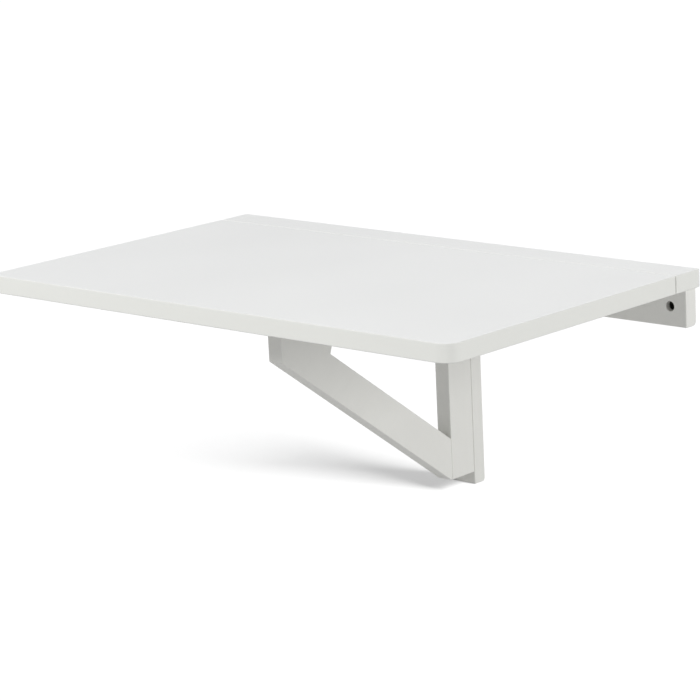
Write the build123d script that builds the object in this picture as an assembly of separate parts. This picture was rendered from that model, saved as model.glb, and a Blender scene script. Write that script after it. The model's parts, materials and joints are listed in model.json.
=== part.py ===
"""Wall-mounted drop-leaf table with one swing-out bracket.

A narrow fixed strip and a rail are fastened to the wall. The leaf is hinged to the strip's
front edge, and a triangular bracket swings out from an upright under the rail to hold it up.
The bracket folds flat in front of the upright, and then the leaf can hang down in front of it.

Frame: millimetres, +Z up, +X along the table's length, +Y towards the wall. The origin is in
the wall plane, midway between the rail's two wall holes.
"""

import os
from math import cos, radians, tan

from build123d import *

os.makedirs("parts", exist_ok=True)

# ---- driving dimensions -------------------------------------------------------------------

# top boards
table_length = 600
strip_depth = 38
seam_gap = 1
leaf_depth = 331
board_thickness = 18
leaf_corner_radius = 15
edge_ease = 1

# frame on the wall
frame_thickness = 16
rail_length = 590
rail_height = 38
rail_back_rounding = 5
upright_width = 44
upright_right_x = 25
upright_depth = 252
upright_back_rounding = 3

# swing bracket: its depth is below the table's top, and the relief clears the leaf's hinges
bracket_thickness = 18
batten_width = 35
bracket_reach = 292
bracket_depth = 239
bracket_play = 0.4
brace_angle = 35.7
brace_width = 36
brace_drop = 1.2
leaf_play = 0.3
arm_relief = 7.7
arm_height = 24
head_top_length = 68
head_length = 74.5
shoulder_lean = 7

# wall holes: depths are below the table's top
rail_hole_depth = 36.5
rail_hole_spacing = 552
upright_hole_spacing = 52
upright_hole_x = -4
upright_hole_depth = 146
wall_hole_radius = 2.75
counterbore_radius = 5
counterbore_depth = 10

# butt hinges
barrel_offset = 2.5
barrel_radius = 2.45
pin_radius = 1.2
pin_hole_radius = 1.25
plate_thickness = 1.2
plate_width = 20
plate_corner = 2
knuckle_count = 5
knuckle_gap = 0.3
leaf_hinge_length = 50
leaf_hinge_x = 165
bracket_hinge_length = 40
bracket_hinge_depths = {"upper": 80, "lower": 212}

# the hinges' wood screws: near and far are the two rows' distances from the hinge's axis
head_radius = 2.7
shank_radius = 1.4
head_depth = 1.5
tip_length = 3
recess_width = 0.7
recess_span = 3
recess_depth = 0.9
screw_end_margin = 7
screw_near = 8.5
screw_far = 14.5
leaf_screw_length = 15
leaf_screw_count = 3
bracket_screw_length = 12
bracket_screw_count = 2

# dowels
thick_dowel = 4
thin_dowel = 3
dowel_chamfer = 0.6
strip_dowel_xs = (-240, -120, 0, 120, 240)
strip_dowel_length = 30
strip_dowel_in_rail = 18
upright_dowel_xs = (2, 18)
upright_dowel_length = 32
post_dowel_in_post = 12
arm_dowel_length = 27
arm_dowel_spacing = 12
brace_dowel_length = 24
brace_dowel_depths = (205, 219)

# ---- levels and planes that follow ---------------------------------------------------------

top_z = rail_hole_depth
underside_z = top_z - board_thickness
rail_bottom_z = underside_z - rail_height
upright_left_x = upright_right_x - upright_width
leaf_back_y = -strip_depth - seam_gap
leaf_front_y = leaf_back_y - leaf_depth
bracket_left_x = upright_right_x - bracket_thickness
bracket_middle_x = (bracket_left_x + upright_right_x) / 2
post_back_y = -frame_thickness - bracket_play
post_front_y = post_back_y - batten_width
bracket_bottom_z = top_z - bracket_depth
head_top_z = underside_z - leaf_play
arm_top_z = head_top_z - arm_relief
arm_bottom_z = arm_top_z - arm_height
bracket_tip_y = -bracket_reach
arm_end_y = bracket_tip_y + head_length

nodes = {}


# ---- makers of boards and battens ----------------------------------------------------------

def span_box(x_span, y_span, z_span):
    """A box between two values on each axis."""
    spans = (x_span, y_span, z_span)
    size = [high - low for low, high in spans]
    middle = [(low + high) / 2 for low, high in spans]
    return Pos(*middle) * Box(*size)


def eased_box(x_span, y_span, z_span):
    """A board or batten whose edges are all slightly rounded."""
    block = span_box(x_span, y_span, z_span)
    return fillet(block.edges(), edge_ease)


def wall_batten(x_span, z_span, back_rounding):
    """A batten against the wall. Its lower back edge is rounded off, and the others are eased."""
    block = span_box(x_span, (-frame_thickness, 0), z_span)
    corner = ((x_span[0] + x_span[1]) / 2, 0, z_span[0])
    low_back = block.edges().filter_by(Axis.X).sort_by_distance(corner)[0]
    block = fillet(low_back, back_rounding)
    lengthwise = block.edges().filter_by(Axis.X).sort_by_distance(corner)[2:]
    crosswise = block.edges().filter_by(Axis.X, reverse=True)
    return fillet(lengthwise + crosswise, edge_ease)


def bracket_piece(outline):
    """A piece of the bracket cut to an outline of (y, z) points, with its edges eased."""
    wire = Polyline([(bracket_left_x, y, z) for y, z in outline], close=True)
    block = extrude(make_face(wire), amount=bracket_thickness, dir=(1, 0, 0))
    return fillet(block.edges(), edge_ease)


def wall_hole(x, z):
    """The cutter of a counterbored screw hole through a batten on the wall."""
    across = Rot(90, 0, 0)
    through = Pos(x, -frame_thickness / 2, z) * across * Cylinder(wall_hole_radius, 2 * frame_thickness)
    mouth_y = counterbore_depth / 2 - frame_thickness
    mouth = Pos(x, mouth_y, z) * across * Cylinder(counterbore_radius, counterbore_depth)
    return through + mouth


def dowel(start, direction, length, radius):
    """A plain wooden dowel with chamfered ends that starts at a point."""
    rod = Cylinder(radius, length, align=(Align.CENTER, Align.CENTER, Align.MIN))
    rod = chamfer(rod.edges().filter_by(GeomType.CIRCLE), dowel_chamfer)
    return Plane(origin=start, z_dir=direction) * rod


def cut_all(piece, cutters):
    """The piece with every cutter taken out of it."""
    for cutter in cutters:
        piece = piece - cutter
    return piece


def group(pieces):
    """Separate solids kept together as one node."""
    return Compound(children=[solid for piece in pieces for solid in piece.solids()])


# ---- makers of hinges and screws -----------------------------------------------------------
# A hinge is drawn with its axis on X, open flat, with its mounting faces towards +Z. The plate
# of the body that stays put lies towards +Y and the plate of the body that moves towards -Y.

def knuckle_span(length, index):
    """Where one knuckle starts and ends along the axis."""
    pitch = length / knuckle_count
    start = index * pitch - length / 2
    return start + knuckle_gap / 2, start + pitch - knuckle_gap / 2


def hinge_plate(length, own_knuckles):
    """One plate of a hinge with its own knuckles, towards +Y."""
    half = length / 2
    inner_z = barrel_offset - plate_thickness
    plate = span_box((-half, half), (0, plate_width), (inner_z, barrel_offset))
    outer_corners = plate.edges().filter_by(Axis.Z).group_by(Axis.Y)[-1]
    plate = fillet(outer_corners, plate_corner)
    room = barrel_radius + knuckle_gap
    for index in range(knuckle_count):
        low, high = knuckle_span(length, index)
        if index in own_knuckles:
            barrel = Rot(0, 90, 0) * Cylinder(barrel_radius, high - low)
            plate += Pos((low + high) / 2, 0, 0) * barrel
            plate += span_box((low, high), (0, barrel_radius), (0, barrel_offset))
        else:
            plate -= span_box((low - knuckle_gap, high + knuckle_gap), (-room, room), (0, 2 * room))
    return plate - Rot(0, 90, 0) * Cylinder(pin_hole_radius, 2 * length)


def hinge_pin(length):
    """A plain steel pin along X with rounded ends."""
    pin = Rot(0, 90, 0) * Cylinder(pin_radius, length)
    return fillet(pin.edges().filter_by(GeomType.CIRCLE), pin_radius / 3)


def screw_body(length):
    """A countersunk wood screw without its recess: the head's face at z=0, pointing to +Z."""
    outline = Polyline(
        (0, 0, 0),
        (head_radius, 0, 0),
        (shank_radius, 0, head_depth),
        (shank_radius, 0, length - tip_length),
        (0, 0, length),
        close=True,
    )
    return revolve(make_face(outline), Axis.Z)


def cross_recess():
    """The cutter of the cross recess in a screw's head."""
    slot = Box(recess_span, recess_width, 2 * recess_depth)
    return slot + Rot(0, 0, 90) * slot


def plate_screws(hinge_length, count, screw_length):
    """The cutters that the screws of one plate need, and the screws, towards +Y."""
    head_z = barrel_offset - plate_thickness
    step = (hinge_length - 2 * screw_end_margin) / (count - 1)
    cutters = []
    screws = []
    for index in range(count):
        x = screw_end_margin - hinge_length / 2 + index * step
        y = screw_near if index % 2 else screw_far
        body = screw_body(screw_length)
        cutters.append(Pos(x, y, head_z) * body)
        screws.append(Pos(x, y, head_z) * (body - cross_recess()))
    return cutters, screws


def flip(piece):
    """The piece carried over from the fixed plate's side to the moving plate's side."""
    return mirror(piece, about=Plane.XZ)


fixed_knuckles = (0, 2, 4)
moving_knuckles = (1, 3)

# ---- leaf hinges: flat open under the seam, one towards each end ----------------------------

strip_screw_holes = []
leaf_screw_holes = []
strip_screws = []
leaf_screws = []
cutters, screws = plate_screws(leaf_hinge_length, leaf_screw_count, leaf_screw_length)
for side, x in {"left": -leaf_hinge_x, "right": leaf_hinge_x}.items():
    seat = Pos(x, -strip_depth - seam_gap / 2, underside_z - barrel_offset)
    fixed_plate = cut_all(hinge_plate(leaf_hinge_length, fixed_knuckles), cutters)
    moving_plate = cut_all(hinge_plate(leaf_hinge_length, moving_knuckles), cutters)
    nodes[f"leaf_hinge_fixed_plate_{side}"] = seat * fixed_plate
    nodes[f"leaf_hinge_moving_plate_{side}"] = seat * flip(moving_plate)
    nodes[f"leaf_hinge_pin_{side}"] = seat * hinge_pin(leaf_hinge_length)
    strip_screw_holes += [seat * cutter for cutter in cutters]
    strip_screws += [seat * screw for screw in screws]
    leaf_screw_holes += [seat * flip(cutter) for cutter in cutters]
    leaf_screws += [seat * flip(screw) for screw in screws]
nodes["leaf_hinge_fixed_screws"] = group(strip_screws)
nodes["leaf_hinge_moving_screws"] = group(leaf_screws)

# ---- bracket hinges: in the corner between the upright's front and the post's left side -----

upright_screw_holes = []
post_screw_holes = []
upright_screws = []
post_screws = []
quarter_turn = Rot(90, 0, 0)
cutters, screws = plate_screws(bracket_hinge_length, bracket_screw_count, bracket_screw_length)
for level, depth in bracket_hinge_depths.items():
    axis_point = (bracket_left_x - barrel_offset, -frame_thickness - barrel_offset, top_z - depth)
    seat = Plane(origin=axis_point, x_dir=(0, 0, -1), z_dir=(0, 1, 0)).location
    fixed_plate = cut_all(hinge_plate(bracket_hinge_length, fixed_knuckles), cutters)
    moving_plate = cut_all(hinge_plate(bracket_hinge_length, moving_knuckles), cutters)
    nodes[f"bracket_hinge_fixed_plate_{level}"] = seat * fixed_plate
    nodes[f"bracket_hinge_moving_plate_{level}"] = seat * quarter_turn * flip(moving_plate)
    nodes[f"bracket_hinge_pin_{level}"] = seat * hinge_pin(bracket_hinge_length)
    upright_screw_holes += [seat * cutter for cutter in cutters]
    upright_screws += [seat * screw for screw in screws]
    post_screw_holes += [seat * quarter_turn * flip(cutter) for cutter in cutters]
    post_screws += [seat * quarter_turn * flip(screw) for screw in screws]
nodes["bracket_hinge_fixed_screws"] = group(upright_screws)
nodes["bracket_hinge_moving_screws"] = group(post_screws)

# ---- dowels of the fixed frame and of the bracket -------------------------------------------

up = (0, 0, 1)
forward = (0, -1, 0)
frame_middle_y = -frame_thickness / 2
strip_dowels = [
    dowel((x, frame_middle_y, underside_z - strip_dowel_in_rail), up, strip_dowel_length, thick_dowel)
    for x in strip_dowel_xs
]
upright_dowel_z = rail_bottom_z - upright_dowel_length / 2
upright_dowels = [
    dowel((x, frame_middle_y, upright_dowel_z), up, upright_dowel_length, thick_dowel)
    for x in upright_dowel_xs
]
post_dowel_y = post_front_y + post_dowel_in_post
arm_middle_z = (arm_top_z + arm_bottom_z) / 2
arm_dowels = [
    dowel((bracket_middle_x, post_dowel_y, arm_middle_z + offset), forward, arm_dowel_length, thin_dowel)
    for offset in (-arm_dowel_spacing / 2, arm_dowel_spacing / 2)
]
brace_dowels = [
    dowel((bracket_middle_x, post_dowel_y, top_z - depth), forward, brace_dowel_length, thin_dowel)
    for depth in brace_dowel_depths
]
head_dowels = [
    dowel((bracket_middle_x, arm_end_y + arm_dowel_length / 2, arm_middle_z + offset), forward,
          arm_dowel_length, thin_dowel)
    for offset in (-arm_dowel_spacing / 2, arm_dowel_spacing / 2)
]
nodes["strip_dowels"] = group(strip_dowels)
nodes["upright_dowels"] = group(upright_dowels)
nodes["arm_dowels"] = group(arm_dowels)
nodes["brace_dowels"] = group(brace_dowels)
nodes["head_dowels"] = group(head_dowels)

# ---- fixed top strip ------------------------------------------------------------------------

half_length = table_length / 2
strip = eased_box((-half_length, half_length), (-strip_depth, 0), (underside_z, top_z))
nodes["fixed_top_strip"] = cut_all(strip, strip_screw_holes + strip_dowels)

# ---- wall rail, under the strip and a little shorter ----------------------------------------

rail = wall_batten((-rail_length / 2, rail_length / 2), (rail_bottom_z, underside_z), rail_back_rounding)
rail_holes = [wall_hole(x, 0) for x in (-rail_hole_spacing / 2, rail_hole_spacing / 2)]
nodes["wall_rail"] = cut_all(rail, rail_holes + strip_dowels + upright_dowels)

# ---- upright, butted under the rail ---------------------------------------------------------

upright_span = (top_z - upright_depth, rail_bottom_z)
upright = wall_batten((upright_left_x, upright_right_x), upright_span, upright_back_rounding)
upright_holes = [
    wall_hole(upright_hole_x, top_z - upright_hole_depth + offset)
    for offset in (-upright_hole_spacing / 2, upright_hole_spacing / 2)
]
nodes["wall_upright"] = cut_all(upright, upright_holes + upright_dowels + upright_screw_holes)

# ---- drop leaf, with two rounded front corners ----------------------------------------------

leaf = span_box((-half_length, half_length), (leaf_front_y, leaf_back_y), (underside_z, top_z))
front_corners = leaf.edges().filter_by(Axis.Z).group_by(Axis.Y)[0]
leaf = fillet(front_corners, leaf_corner_radius)
back_corners = leaf.edges().filter_by(Axis.Z).group_by(Axis.Y)[-1]
level_edges = leaf.edges().filter_by(Axis.Z, reverse=True)
leaf = fillet(back_corners + level_edges, edge_ease)
nodes["drop_leaf"] = cut_all(leaf, leaf_screw_holes)

# ---- bracket post, which carries the moving plates of the bracket hinges ---------------------

post_outline = [
    (post_back_y, bracket_bottom_z),
    (post_front_y, bracket_bottom_z),
    (post_front_y, arm_top_z),
    (post_back_y, arm_top_z),
]
nodes["bracket_post"] = cut_all(bracket_piece(post_outline), post_screw_holes + arm_dowels + brace_dowels)

# ---- bracket arm: a short batten between the post and the brace's head, clear of the hinges -----

arm_outline = [
    (post_front_y, arm_bottom_z),
    (arm_end_y, arm_bottom_z),
    (arm_end_y, arm_top_z),
    (post_front_y, arm_top_z),
]
nodes["bracket_arm"] = cut_all(bracket_piece(arm_outline), arm_dowels + head_dowels)

# ---- bracket brace: a sloping batten whose upper end is a head that meets the leaf --------------

slope = tan(radians(brace_angle))
brace_rise = brace_width / cos(radians(brace_angle))


def brace_low_z(y):
    """The height of the brace's lower edge."""
    return bracket_bottom_z - brace_drop + slope * (post_front_y - y)


shoulder_y = arm_end_y - shoulder_lean
brace_outline = [
    (post_front_y, bracket_bottom_z),
    (post_front_y - brace_drop / slope, bracket_bottom_z),
    (bracket_tip_y, brace_low_z(bracket_tip_y)),
    (bracket_tip_y, head_top_z),
    (bracket_tip_y + head_top_length, head_top_z),
    (arm_end_y, arm_top_z),
    (arm_end_y, arm_bottom_z),
    (shoulder_y, brace_low_z(shoulder_y) + brace_rise),
    (post_front_y, brace_low_z(post_front_y) + brace_rise),
]
nodes["bracket_brace"] = cut_all(bracket_piece(brace_outline), brace_dowels + head_dowels)

# ---- files ------------------------------------------------------------------------------------

for name, shape in nodes.items():
    export_step(shape, f"parts/{name}.step")
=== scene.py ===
"""A small white table that is fixed to a wall. A rail and an upright are screwed to the wall, a
fixed strip and a drop leaf of lacquered board lie on top, and a triangular bracket swings out
under the leaf to hold it up.

Metres, +Z up, +X along the table's length, +Y towards the wall.
"""

import json
import math

import bmesh
import bpy
from mathutils import Matrix, Vector


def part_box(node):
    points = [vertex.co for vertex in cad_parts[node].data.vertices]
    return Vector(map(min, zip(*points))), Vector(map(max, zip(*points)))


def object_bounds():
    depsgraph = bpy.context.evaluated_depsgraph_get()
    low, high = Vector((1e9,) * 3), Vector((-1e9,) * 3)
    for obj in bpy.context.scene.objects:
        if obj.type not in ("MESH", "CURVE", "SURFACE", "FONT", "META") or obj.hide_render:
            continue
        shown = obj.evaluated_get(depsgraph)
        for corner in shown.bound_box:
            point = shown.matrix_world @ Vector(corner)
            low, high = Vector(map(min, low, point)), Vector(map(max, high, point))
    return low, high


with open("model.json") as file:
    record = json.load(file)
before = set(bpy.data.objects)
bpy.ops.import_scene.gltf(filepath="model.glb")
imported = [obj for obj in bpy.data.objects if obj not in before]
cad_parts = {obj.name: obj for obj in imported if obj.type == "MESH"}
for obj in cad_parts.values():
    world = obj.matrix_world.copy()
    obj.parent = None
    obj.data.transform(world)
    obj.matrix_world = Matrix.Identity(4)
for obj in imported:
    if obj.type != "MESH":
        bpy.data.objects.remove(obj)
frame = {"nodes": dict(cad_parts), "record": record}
cad_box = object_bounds()

# ---- camera ------------------------------------------------------------------------------------
# A long lens on a tripod in front of the table's right-hand corner, a little higher than the top.
# It is aimed under the leaf, left of the middle, and leans over slightly to one side.

lens_length = 144.90
sensor_width = 36
aim = Vector((-0.0834, -0.0794, -0.0738))
aim_distance = 2.9
azimuth = math.radians(42.645)
elevation = math.radians(13.084)
lean = math.radians(-2.701)

back = Vector((math.sin(azimuth), -math.cos(azimuth), math.tan(elevation))).normalized()
camera = bpy.data.objects.new("camera", bpy.data.cameras.new("camera"))
camera.data.lens = lens_length
camera.data.sensor_width = sensor_width
upright_view = back.to_track_quat("Z", "Y").to_matrix()
turned_view = upright_view @ Matrix.Rotation(lean, 3, "Z")
camera.matrix_world = Matrix.Translation(aim + aim_distance * back) @ turned_view.to_4x4()
bpy.context.scene.collection.objects.link(camera)
bpy.context.scene.camera = camera

# ---- rail and upright --------------------------------------------------------------------------
# Two battens of solid wood, planed, eased and sprayed with a satin white paint. The upright is
# dowelled under the rail, and each is held to the wall by two screws in counterbored holes.

nodes = frame["nodes"]
mounts = {mount["name"]: mount for mount in frame["record"]["mounts"]}

frame_white = (0.800, 0.797, 0.760, 1)
# painted highlight along the battens' eased edges: a lighter white than the flats
arris_highlight_white = (0.86, 0.85, 0.82, 1)
frame_gloss = (0.40, 0.52)
arris_highlight_share = 0.12
edge_polish = -0.08
grain_tint = 0.018
grain_relief = 0.8
paint_relief = 0.00009

millimetre = 0.001
counterbore_radius = 0.005
bore_margin = 0.0001
overspray = (0.80, 0.79, 0.75, 1)
# painted shade inside the wall holes: nearly black deeper in, where the holes lie in shade
bore_painted_shade = (0.014, 0.012, 0.010, 1)
overspray_to_shade_depths = (0.0050, 0.0072)
bore_rings = 0.3
bore_roughness = 0.9


def new_group(name, inputs, outputs):
    """An empty shader node group, with its input and output nodes. Sockets are (name, kind) pairs."""
    group = bpy.data.node_groups.new(name, "ShaderNodeTree")
    for way, sockets in (("INPUT", inputs), ("OUTPUT", outputs)):
        for socket, kind in sockets:
            group.interface.new_socket(name=socket, in_out=way, socket_type="NodeSocket" + kind)
    return group, group.nodes.new("NodeGroupInput").outputs, group.nodes.new("NodeGroupOutput").inputs


def add(tree, kind, settings=(), **links):
    """A new node. Settings are its own properties, and links feed or fill its inputs by name."""
    node = tree.nodes.new("ShaderNode" + kind)
    for prop, value in dict(settings).items():
        setattr(node, prop, value)
    for socket, value in links.items():
        fill(tree, node.inputs[socket.replace("_", " ")], value)
    return node


def fill(tree, socket, value):
    """Feeds a socket from another node's output, or sets its value."""
    if isinstance(value, bpy.types.NodeSocket):
        tree.links.new(value, socket)
    else:
        socket.default_value = value


def maths(tree, operation, *values):
    """The output of a maths node."""
    node = tree.nodes.new("ShaderNodeMath")
    node.operation = operation
    for socket, value in zip(node.inputs, values):
        fill(tree, socket, value)
    return node.outputs[0]


def vector_maths(tree, operation, *values):
    """A vector maths node."""
    node = tree.nodes.new("ShaderNodeVectorMath")
    node.operation = operation
    for socket, value in zip(node.inputs, values):
        fill(tree, socket, value)
    return node


def ramp(tree, value, start, end, low=0.0, high=1.0):
    """A smooth step of a value from start to end, given out between low and high."""
    node = tree.nodes.new("ShaderNodeMapRange")
    node.interpolation_type = "SMOOTHSTEP"
    for socket, given in zip(node.inputs, (value, start, end, low, high)):
        fill(tree, socket, given)
    return node.outputs["Result"]


def blend_colours(tree, share, first, second):
    """The mix of two colours, with this share of the second one."""
    node = tree.nodes.new("ShaderNodeMix")
    node.data_type = "RGBA"
    fill(tree, node.inputs["Factor"], share)
    fill(tree, node.inputs["A"], first)
    fill(tree, node.inputs["B"], second)
    return node.outputs["Result"]


def noise(tree, vector, scale, detail=2.0, roughness=0.5):
    """The output of a noise texture, from 0 to 1."""
    node = add(tree, "TexNoise", Vector=vector, Scale=scale, Detail=detail, Roughness=roughness)
    return node.outputs["Fac"]


def paint_film_group():
    """A sprayed film: faint clouds in its colour and gloss, orange peel, and a few dust nibs."""
    group, given, out = new_group(
        "sprayed_paint_film",
        [("Vector", "Vector"), ("Colour", "Color"), ("Clouding", "Float"), ("Peel Scale", "Float"),
         ("Glossiest", "Float"), ("Dullest", "Float")],
        [("Colour", "Color"), ("Roughness", "Float"), ("Height", "Float")],
    )
    clouds = noise(group, given["Vector"], scale=7, detail=4)
    mottle = noise(group, given["Vector"], scale=140, detail=2)
    peel = noise(group, given["Vector"], scale=given["Peel Scale"], detail=1.5, roughness=0.4)
    grit = noise(group, given["Vector"], scale=3200, detail=1)
    cells = add(group, "TexVoronoi", Vector=given["Vector"], Scale=110).outputs
    chosen = ramp(group, noise(group, cells["Position"], scale=37, detail=0), start=0.66, end=0.70)
    near = ramp(group, cells["Distance"], start=0.0, end=0.045, low=1, high=0)
    nibs = maths(group, "MULTIPLY", near, chosen)

    swing = maths(group, "MULTIPLY_ADD", mottle, 0.35, maths(group, "SUBTRACT", clouds, 0.675))
    bright = maths(group, "MULTIPLY_ADD", swing, given["Clouding"], 1.0)
    tone = add(group, "HueSaturation", Color=given["Colour"], Value=bright)
    fill(group, out["Colour"], tone.outputs[0])

    patchy = maths(group, "MULTIPLY_ADD", mottle, 0.4, maths(group, "MULTIPLY", clouds, 0.6))
    fill(group, out["Roughness"], ramp(group, patchy, 0.3, 0.7, given["Glossiest"], given["Dullest"]))
    relief = maths(group, "MULTIPLY_ADD", grit, 0.12, peel)
    fill(group, out["Height"], maths(group, "MULTIPLY_ADD", nibs, 1.4, relief))
    return group


def eased_edge_group():
    """Where a surface turns over an eased edge: 0 on the flats, and 1 half-way round the edge.

    Turn is the slope of a piece's own faces about X, and Round leaves out upright round corners."""
    group, given, out = new_group(
        "eased_edges",
        [("Normal", "Vector"), ("Turn", "Float"), ("Round", "Float")],
        [("Edge", "Float"), ("Upright", "Float")],
    )
    about_x = {"rotation_type": "X_AXIS"}
    own = add(group, "VectorRotate", about_x, Vector=given["Normal"], Angle=given["Turn"]).outputs[0]
    facing = 0.0
    for normal in (given["Normal"], own):
        parts = add(group, "SeparateXYZ", Vector=vector_maths(group, "ABSOLUTE", normal).outputs[0])
        for part in parts.outputs:
            facing = maths(group, "MAXIMUM", facing, part)
    parts = add(group, "SeparateXYZ", Vector=given["Normal"])
    level = add(group, "CombineXYZ", X=parts.outputs["X"], Y=parts.outputs["Y"])
    sideways = vector_maths(group, "LENGTH", level.outputs[0]).outputs["Value"]
    facing = maths(group, "MAXIMUM", facing, maths(group, "MULTIPLY", sideways, given["Round"]))
    fill(group, out["Edge"], ramp(group, facing, start=0.995, end=0.80))
    fill(group, out["Upright"], ramp(group, sideways, start=0.3, end=0.9))
    return group


def grain_group():
    """Wood grain along Z that still shows faintly through paint."""
    group, given, out = new_group("painted_grain", [("Vector", "Vector")], [("Grain", "Float")])
    drift = noise(group, given["Vector"], scale=9)
    sway = add(group, "CombineXYZ", X=maths(group, "MULTIPLY", drift, 0.006))
    moved = vector_maths(group, "ADD", given["Vector"], sway.outputs[0]).outputs[0]
    along = vector_maths(group, "MULTIPLY", moved, (1, 1, 0.03)).outputs[0]
    rings = noise(group, along, scale=260, detail=3, roughness=0.6)
    drawn_out = vector_maths(group, "MULTIPLY", moved, (1, 1, 0.012)).outputs[0]
    pores = noise(group, drawn_out, scale=1500, detail=1)
    rings_share = maths(group, "MULTIPLY", rings, 0.7)
    fill(group, out["Grain"], maths(group, "MULTIPLY_ADD", pores, 0.3, rings_share))
    return group


def bore_group():
    """The inside of two bored holes, set out evenly from the pattern's origin, and how deep it is.

    Half Spacing is the distance from the middle to a hole, and Front is the batten's front face.
    Deep runs from 0 at the Shallow depth to 1 at the Deep one."""
    group, given, out = new_group(
        "bored_holes",
        [("Vector", "Vector"), ("Half Spacing", "Vector"), ("Radius", "Float"), ("Front", "Float"),
         ("Shallow", "Float"), ("Deep", "Float")],
        [("Bore", "Float"), ("Deep", "Float")],
    )
    folded = vector_maths(group, "ABSOLUTE", given["Vector"]).outputs[0]
    offset = vector_maths(group, "SUBTRACT", folded, given["Half Spacing"]).outputs[0]
    across = vector_maths(group, "LENGTH", vector_maths(group, "MULTIPLY", offset, (1, 0, 1)).outputs[0])
    within = maths(group, "LESS_THAN", across.outputs["Value"], given["Radius"])
    into_wall = add(group, "SeparateXYZ", Vector=given["Vector"]).outputs["Y"]
    depth = maths(group, "SUBTRACT", into_wall, given["Front"])
    inside = ramp(group, depth, start=0.00002, end=0.0004)
    fill(group, out["Bore"], maths(group, "MULTIPLY", within, inside))
    fill(group, out["Deep"], ramp(group, depth, given["Shallow"], given["Deep"]))
    return group


def place(tree, group, **links):
    """A node group placed in a material, with its inputs fed or filled by name."""
    node = tree.nodes.new("ShaderNodeGroup")
    node.node_tree = group
    for socket, value in links.items():
        fill(tree, node.inputs[socket.replace("_", " ")], value)
    return node.outputs


def new_material(name):
    """A material with one Principled shader. Gives its tree, shader and texture coordinates."""
    material = bpy.data.materials.new(name)
    material.use_nodes = True
    tree = material.node_tree
    return material, tree, tree.nodes["Principled BSDF"], tree.nodes.new("ShaderNodeTexCoord").outputs


def finish_with(node_name, material):
    """Gives a CAD node this material in place of the ones it came with."""
    piece = nodes[node_name]
    piece.data.materials.clear()
    piece.data.materials.append(material)


paint_film = paint_film_group()
eased_edges = eased_edge_group()
painted_grain = grain_group()
bored_holes = bore_group()


def painted_batten(name, grain_turn=(0, 0, 0), face_turn=0.0, holes=None):
    """The frame's paint on one batten. The grain's turn brings the batten's length to Z, the faces'
    turn is their slope about X, and the holes are its wall holes, if it has any."""
    material, tree, shader, at = new_material(name)
    film = place(
        tree, paint_film, Vector=at["Object"], Colour=frame_white, Clouding=0.04, Peel_Scale=620,
        Glossiest=frame_gloss[0], Dullest=frame_gloss[1],
    )
    turned = add(tree, "Mapping", Vector=at["Object"], Rotation=grain_turn).outputs[0]
    grain = place(tree, painted_grain, Vector=turned)["Grain"]
    edge = place(tree, eased_edges, Normal=at["Normal"], Turn=face_turn, Round=0.0)["Edge"]

    streak = maths(tree, "MULTIPLY_ADD", maths(tree, "SUBTRACT", grain, 0.5), grain_tint * 2, 1.0)
    colour = add(tree, "HueSaturation", Color=film["Colour"], Value=streak).outputs[0]
    # painted highlight: the eased edges are mixed towards a lighter white
    colour = blend_colours(tree, maths(tree, "MULTIPLY", edge, arris_highlight_share), colour, arris_highlight_white)
    roughness = maths(tree, "MULTIPLY_ADD", edge, edge_polish, film["Roughness"])
    height = maths(tree, "MULTIPLY_ADD", grain, grain_relief, film["Height"])
    if holes:
        colour, roughness = bored(tree, at, holes, colour, roughness)
    fill(tree, shader.inputs["Base Color"], colour)
    fill(tree, shader.inputs["Roughness"], roughness)
    bump = add(tree, "Bump", Height=height, Strength=0.5, Distance=paint_relief)
    fill(tree, shader.inputs["Normal"], bump.outputs[0])
    return material


def bored(tree, at, holes, colour, roughness):
    """The inside of a batten's wall holes: white overspray near the mouth, then painted shade, nearly black,
    deeper in.
    """
    middle, half_spacing, front = holes
    centred = add(tree, "Mapping", Vector=at["Object"], Location=-middle).outputs[0]
    bore = place(
        tree, bored_holes, Vector=centred, Half_Spacing=half_spacing,
        Radius=counterbore_radius + bore_margin, Front=front,
        Shallow=overspray_to_shade_depths[0], Deep=overspray_to_shade_depths[1],
    )
    rings = noise(tree, at["Object"], scale=2400)
    # painted shade: the bore turns from white overspray to nearly black with depth
    bore_overspray_and_shade = blend_colours(tree, bore["Deep"], overspray, bore_painted_shade)
    ringed = add(tree, "HueSaturation", Color=bore_overspray_and_shade, Value=rings).outputs[0]
    bore_overspray_and_shade = blend_colours(tree, bore_rings, bore_overspray_and_shade, ringed)
    rough = maths(tree, "MULTIPLY", bore["Bore"], bore_roughness)
    return blend_colours(tree, bore["Bore"], colour, bore_overspray_and_shade), maths(tree, "MAXIMUM", roughness, rough)


def wall_holes(mount_name, spacing_name, direction, batten):
    """The middle of a batten's two wall holes, the half spacing between them, and its front face."""
    mount = mounts[mount_name]
    half_spacing = mount["dims"][spacing_name] / 2 * millimetre * Vector(direction)
    return Vector(mount["pos_m"]), half_spacing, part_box(batten)[0].y


quarter = math.pi / 2
rail_holes = wall_holes("rail_wall_holes", "spacing_x_mm", (1, 0, 0), "wall_rail")
upright_holes = wall_holes("upright_wall_holes", "spacing_y_mm", (0, 0, 1), "wall_upright")
finish_with("wall_rail", painted_batten("rail_paint", (0, quarter, 0), holes=rail_holes))
finish_with("wall_upright", painted_batten("upright_paint", holes=upright_holes))

# ---- fixed strip and drop leaf -----------------------------------------------------------------
# Two boards of 18 mm fibreboard, sprayed white all round. The lacquer is smooth on the faces, a
# little warmer and duller on the sawn edges, which soak up more of it. The arrises carry painted
# shade, a darker grey that keeps their rounding from showing a light line.

top_white = (0.822, 0.826, 0.818, 1)
edge_white = (0.795, 0.799, 0.763, 1)
arris_shade_grey = (0.70, 0.705, 0.69, 1)
top_gloss = (0.36, 0.46)
arris_shade_share = 0.6
sawn_dullness = 0.07
sawn_relief = 0.8
lacquer_relief = 0.00004


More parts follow.
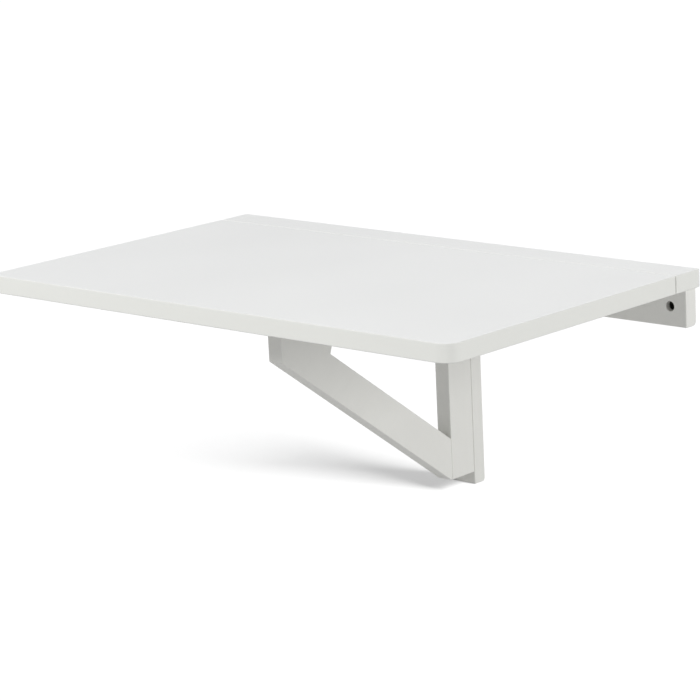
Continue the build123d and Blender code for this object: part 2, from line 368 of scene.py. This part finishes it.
def lacquered_board(name):
    """The top boards' lacquer."""
    material, tree, shader, at = new_material(name)
    turn = place(tree, eased_edges, Normal=at["Normal"], Turn=0.0, Round=1.0)
    base = blend_colours(tree, turn["Upright"], top_white, edge_white)
    film = place(
        tree, paint_film, Vector=at["Object"], Colour=base, Clouding=0.02, Peel_Scale=480,
        Glossiest=top_gloss[0], Dullest=top_gloss[1],
    )
    layered = vector_maths(tree, "MULTIPLY", at["Object"], (1, 1, 5)).outputs[0]
    fibres = noise(tree, layered, scale=700, detail=3, roughness=0.6)
    # painted shade: the arrises are mixed towards a darker grey
    arris_shade_mask = maths(tree, "MULTIPLY", turn["Edge"], arris_shade_share)
    fill(tree, shader.inputs["Base Color"], blend_colours(tree, arris_shade_mask, film["Colour"], arris_shade_grey))
    dull = maths(tree, "MULTIPLY_ADD", turn["Upright"], sawn_dullness, film["Roughness"])
    fill(tree, shader.inputs["Roughness"], dull)
    sawn = maths(tree, "MULTIPLY", fibres, maths(tree, "MULTIPLY", turn["Upright"], sawn_relief))
    height = maths(tree, "ADD", film["Height"], sawn)
    bump = add(tree, "Bump", Height=height, Strength=0.5, Distance=lacquer_relief)
    fill(tree, shader.inputs["Normal"], bump.outputs[0])
    return material


top_lacquer = lacquered_board("top_lacquer")
for board in ("fixed_top_strip", "drop_leaf"):
    finish_with(board, top_lacquer)

# ---- bracket -----------------------------------------------------------------------------------
# A post, an arm and a sloping brace, cut from the same battens as the frame, glued and dowelled
# into a triangle and painted like the rail.

brace_slope = math.radians(35.7)
finish_with("bracket_post", painted_batten("post_paint"))
finish_with("bracket_arm", painted_batten("arm_paint", (quarter, 0, 0)))
brace_paint = painted_batten("brace_paint", (quarter - brace_slope, 0, 0), face_turn=brace_slope)
finish_with("bracket_brace", brace_paint)

# ---- hinge plates ------------------------------------------------------------------------------
# Two butt hinges under the leaf's seam and two behind the bracket, pressed from steel strip and
# zinc plated. The plating has a fine crystalline spangle and a few dull patches.

zinc = (0.62, 0.63, 0.64, 1)
tarnish = (0.40, 0.39, 0.37, 1)


def zinc_group():
    """Zinc plating: spangle, rolling lines and tarnish. Spangle Scale sets the crystals' size."""
    group, given, out = new_group(
        "zinc_plating",
        [("Vector", "Vector"), ("Colour", "Color"), ("Tarnish", "Color"), ("Spangle Scale", "Float")],
        [("Colour", "Color"), ("Roughness", "Float"), ("Height", "Float")],
    )
    crystals = add(group, "TexVoronoi", Vector=given["Vector"], Scale=given["Spangle Scale"]).outputs
    crystal = add(group, "SeparateColor", Color=crystals["Color"]).outputs[0]
    lengthwise = vector_maths(group, "MULTIPLY", given["Vector"], (0.05, 1, 1)).outputs[0]
    rolled = noise(group, lengthwise, scale=2600)
    weathering = noise(group, given["Vector"], scale=160, detail=4, roughness=0.6)
    patches = ramp(group, weathering, start=0.52, end=0.70)
    shade = maths(group, "MULTIPLY_ADD", maths(group, "SUBTRACT", crystal, 0.5), 0.10, 1.0)
    plated = add(group, "HueSaturation", Color=given["Colour"], Value=shade).outputs[0]
    dulled = maths(group, "MULTIPLY", patches, 0.55)
    fill(group, out["Colour"], blend_colours(group, dulled, plated, given["Tarnish"]))
    sheen = maths(group, "MULTIPLY_ADD", crystal, 0.10, maths(group, "MULTIPLY_ADD", rolled, 0.12, 0.22))
    fill(group, out["Roughness"], maths(group, "MULTIPLY_ADD", patches, 0.18, sheen))
    fill(group, out["Height"], maths(group, "MULTIPLY_ADD", crystal, 0.2, rolled))
    return group


zinc_plating = zinc_group()


def plated_steel(name, colour, spangle_scale, relief):
    """Zinc-plated steel."""
    material, tree, shader, at = new_material(name)
    plating = place(
        tree, zinc_plating, Vector=at["Object"], Colour=colour, Tarnish=tarnish, Spangle_Scale=spangle_scale,
    )
    shader.inputs["Metallic"].default_value = 1
    fill(tree, shader.inputs["Base Color"], plating["Colour"])
    fill(tree, shader.inputs["Roughness"], plating["Roughness"])
    bump = add(tree, "Bump", Height=plating["Height"], Strength=0.5, Distance=relief)
    fill(tree, shader.inputs["Normal"], bump.outputs[0])
    return material


hinge_steel = plated_steel("hinge_zinc", zinc, spangle_scale=900, relief=0.00002)
leaf_hinge_sides = ("left", "right")
bracket_hinge_levels = ("upper", "lower")
for plate in ("fixed_plate", "moving_plate"):
    for side in leaf_hinge_sides:
        finish_with(f"leaf_hinge_{plate}_{side}", hinge_steel)
    for level in bracket_hinge_levels:
        finish_with(f"bracket_hinge_{plate}_{level}", hinge_steel)

# ---- hinge pins --------------------------------------------------------------------------------
# Round pins of bright drawn steel, one to a hinge and as long as the hinge. Each is pressed into
# the fixed plate's knuckles, and the moving plate's knuckles turn on it.

drawn_steel = (0.55, 0.55, 0.56, 1)
pin_steel = plated_steel("pin_bright_steel", drawn_steel, spangle_scale=2600, relief=0.00001)
for side in leaf_hinge_sides:
    finish_with(f"leaf_hinge_pin_{side}", pin_steel)
for level in bracket_hinge_levels:
    finish_with(f"bracket_hinge_pin_{level}", pin_steel)

# ---- screws ------------------------------------------------------------------------------------
# Countersunk wood screws with a cross recess, zinc plated. They hold the hinge plates to the
# boards and battens, and their heads sit flush with the plates.

yellowed_zinc = (0.66, 0.66, 0.63, 1)
screw_steel = plated_steel("screw_zinc", yellowed_zinc, spangle_scale=1800, relief=0.00001)
for hinge in ("leaf_hinge", "bracket_hinge"):
    for half in ("fixed", "moving"):
        finish_with(f"{hinge}_{half}_screws", screw_steel)

# ---- dowels ------------------------------------------------------------------------------------
# Plain beech dowels, left bare, with the grain along them. They are glued into blind holes in
# the joints of the frame and of the bracket, where none of them shows.

beech_light = (0.60, 0.42, 0.25, 1)
beech_dark = (0.42, 0.26, 0.14, 1)
beech_relief = 0.00005


def bare_beech(name, grain_turn):
    """Unpainted beech: fine grain along the dowel with short dark flecks."""
    material, tree, shader, at = new_material(name)
    turned = add(tree, "Mapping", Vector=at["Object"], Rotation=grain_turn).outputs[0]
    grain = place(tree, painted_grain, Vector=turned)["Grain"]
    drawn_out = vector_maths(tree, "MULTIPLY", turned, (1, 1, 0.15)).outputs[0]
    flecks = ramp(tree, noise(tree, drawn_out, scale=2200, detail=1), start=0.60, end=0.68)
    bands = ramp(tree, grain, start=0.3, end=0.7)
    figure = maths(tree, "MULTIPLY_ADD", flecks, 0.5, bands)
    fill(tree, shader.inputs["Base Color"], blend_colours(tree, figure, beech_light, beech_dark))
    roughness = ramp(tree, grain, start=0.2, end=0.8, low=0.55, high=0.75)
    fill(tree, shader.inputs["Roughness"], roughness)
    bump = add(tree, "Bump", Height=grain, Strength=0.6, Distance=beech_relief)
    fill(tree, shader.inputs["Normal"], bump.outputs[0])
    return material


upright_beech = bare_beech("beech_upright", (0, 0, 0))
level_beech = bare_beech("beech_level", (quarter, 0, 0))
for dowels in ("strip_dowels", "upright_dowels"):
    finish_with(dowels, upright_beech)
for dowels in ("arm_dowels", "brace_dowels", "head_dowels"):
    finish_with(dowels, level_beech)

# ---- studio ------------------------------------------------------------------------------------
# A pale floor card under the upright's foot, a white sky that is dimmer on the room's side, and
# three soft lamps for the table: high in front, on the right and behind. A soft sun lights only
# the floor, where just the upright and the post cast their shadow.

floor_size = 60
floor_gap = 0.0003
floor_seen = (0.36, 0.36, 0.36, 1)
floor_bounce = (0.31, 0.31, 0.31, 1)
floor_glow = 0.395
floor_gloss = 0.1
sky_white = (0.985, 0.99, 1.0, 1)
sky_strength = 0.50
room_side_share = 0.75
room_direction = Vector((0.659867, -0.716469, 0.226379))
lamp_target = Vector((-0.0834, -0.0794, -0.0738))
lamps = {
    "front_lamp": {"power": 76, "size": 1.5, "place": (-1.10, -2.65, 2.05)},
    "right_lamp": {"power": 18.0, "size": 0.8, "place": (2.25, -0.12, 0.56)},
    "back_lamp": {"power": 9.5, "size": 1.2, "place": (0.20, 0.95, 1.70)},
}
floor_sun_strength = 8.0
floor_sun_place = Vector((1.0, 0.06, 0.66))
floor_sun_spread = math.radians(29)

floor_mesh = bmesh.new()
bmesh.ops.create_grid(floor_mesh, x_segments=1, y_segments=1, size=floor_size / 2)
bmesh.ops.translate(floor_mesh, verts=floor_mesh.verts, vec=(0, 0, cad_box[0][2] - floor_gap))
floor = bpy.data.objects.new("floor", bpy.data.meshes.new("floor"))
floor_mesh.to_mesh(floor.data)
floor_mesh.free()
bpy.context.scene.collection.objects.link(floor)
floor_card, tree, shader, at = new_material("floor_card")
seen = tree.nodes.new("ShaderNodeLightPath").outputs["Is Camera Ray"]
speckle = noise(tree, at["Object"], scale=300, detail=3)
fill(tree, shader.inputs["Base Color"], blend_colours(tree, seen, floor_bounce, floor_seen))
roughness = ramp(tree, speckle, start=0.3, end=0.7, low=0.85, high=0.95)
fill(tree, shader.inputs["Roughness"], roughness)
shader.inputs["Specular IOR Level"].default_value = floor_gloss
fill(tree, shader.inputs["Emission Color"], blend_colours(tree, seen, (0, 0, 0, 1), (1, 1, 1, 1)))
shader.inputs["Emission Strength"].default_value = floor_glow
below = tree.nodes.new("ShaderNodeNewGeometry").outputs["Backfacing"]
clear = tree.nodes.new("ShaderNodeBsdfTransparent").outputs[0]
one_sided = tree.nodes.new("ShaderNodeMixShader")
for socket, value in zip(one_sided.inputs, (below, shader.outputs[0], clear)):
    fill(tree, socket, value)
fill(tree, tree.nodes["Material Output"].inputs["Surface"], one_sided.outputs[0])
floor.data.materials.append(floor_card)

world = bpy.data.worlds.new("white_sky")
world.use_nodes = True
tree = world.node_tree
direction = tree.nodes.new("ShaderNodeTexCoord").outputs["Generated"]
room_side = vector_maths(tree, "DOT_PRODUCT", direction, room_direction).outputs["Value"]
dimmer = sky_strength * room_side_share
brightness = ramp(tree, room_side, start=-0.5, end=0.7, low=sky_strength, high=dimmer)
tree.nodes["Background"].inputs["Color"].default_value = sky_white
fill(tree, tree.nodes["Background"].inputs["Strength"], brightness)
bpy.context.scene.world = world

floor_alone = bpy.data.collections.new("floor_alone")
floor_alone.objects.link(floor)
all_but_floor = bpy.data.collections.new("all_but_floor")
all_but_floor.objects.link(floor)
all_but_floor.collection_objects[0].light_linking.link_state = "EXCLUDE"
standing_battens = bpy.data.collections.new("standing_battens")
for batten in ("wall_upright", "bracket_post"):
    standing_battens.objects.link(nodes[batten])

for name, lamp in lamps.items():
    light = bpy.data.objects.new(name, bpy.data.lights.new(name, "AREA"))
    light.data.shape = "SQUARE"
    light.data.size = lamp["size"]
    light.data.energy = lamp["power"]
    place_of_lamp = Vector(lamp["place"])
    turned = (place_of_lamp - lamp_target).to_track_quat("Z", "Y").to_matrix().to_4x4()
    light.matrix_world = Matrix.Translation(place_of_lamp) @ turned
    light.light_linking.receiver_collection = all_but_floor
    bpy.context.scene.collection.objects.link(light)

sun = bpy.data.objects.new("floor_sun", bpy.data.lights.new("floor_sun", "SUN"))
sun.data.energy = floor_sun_strength
sun.data.angle = floor_sun_spread
sun.matrix_world = floor_sun_place.to_track_quat("Z", "Y").to_matrix().to_4x4()
sun.light_linking.receiver_collection = floor_alone
sun.light_linking.blocker_collection = standing_battens
bpy.context.scene.collection.objects.link(sun)
bpy.context.scene.view_settings.view_transform = "Standard"
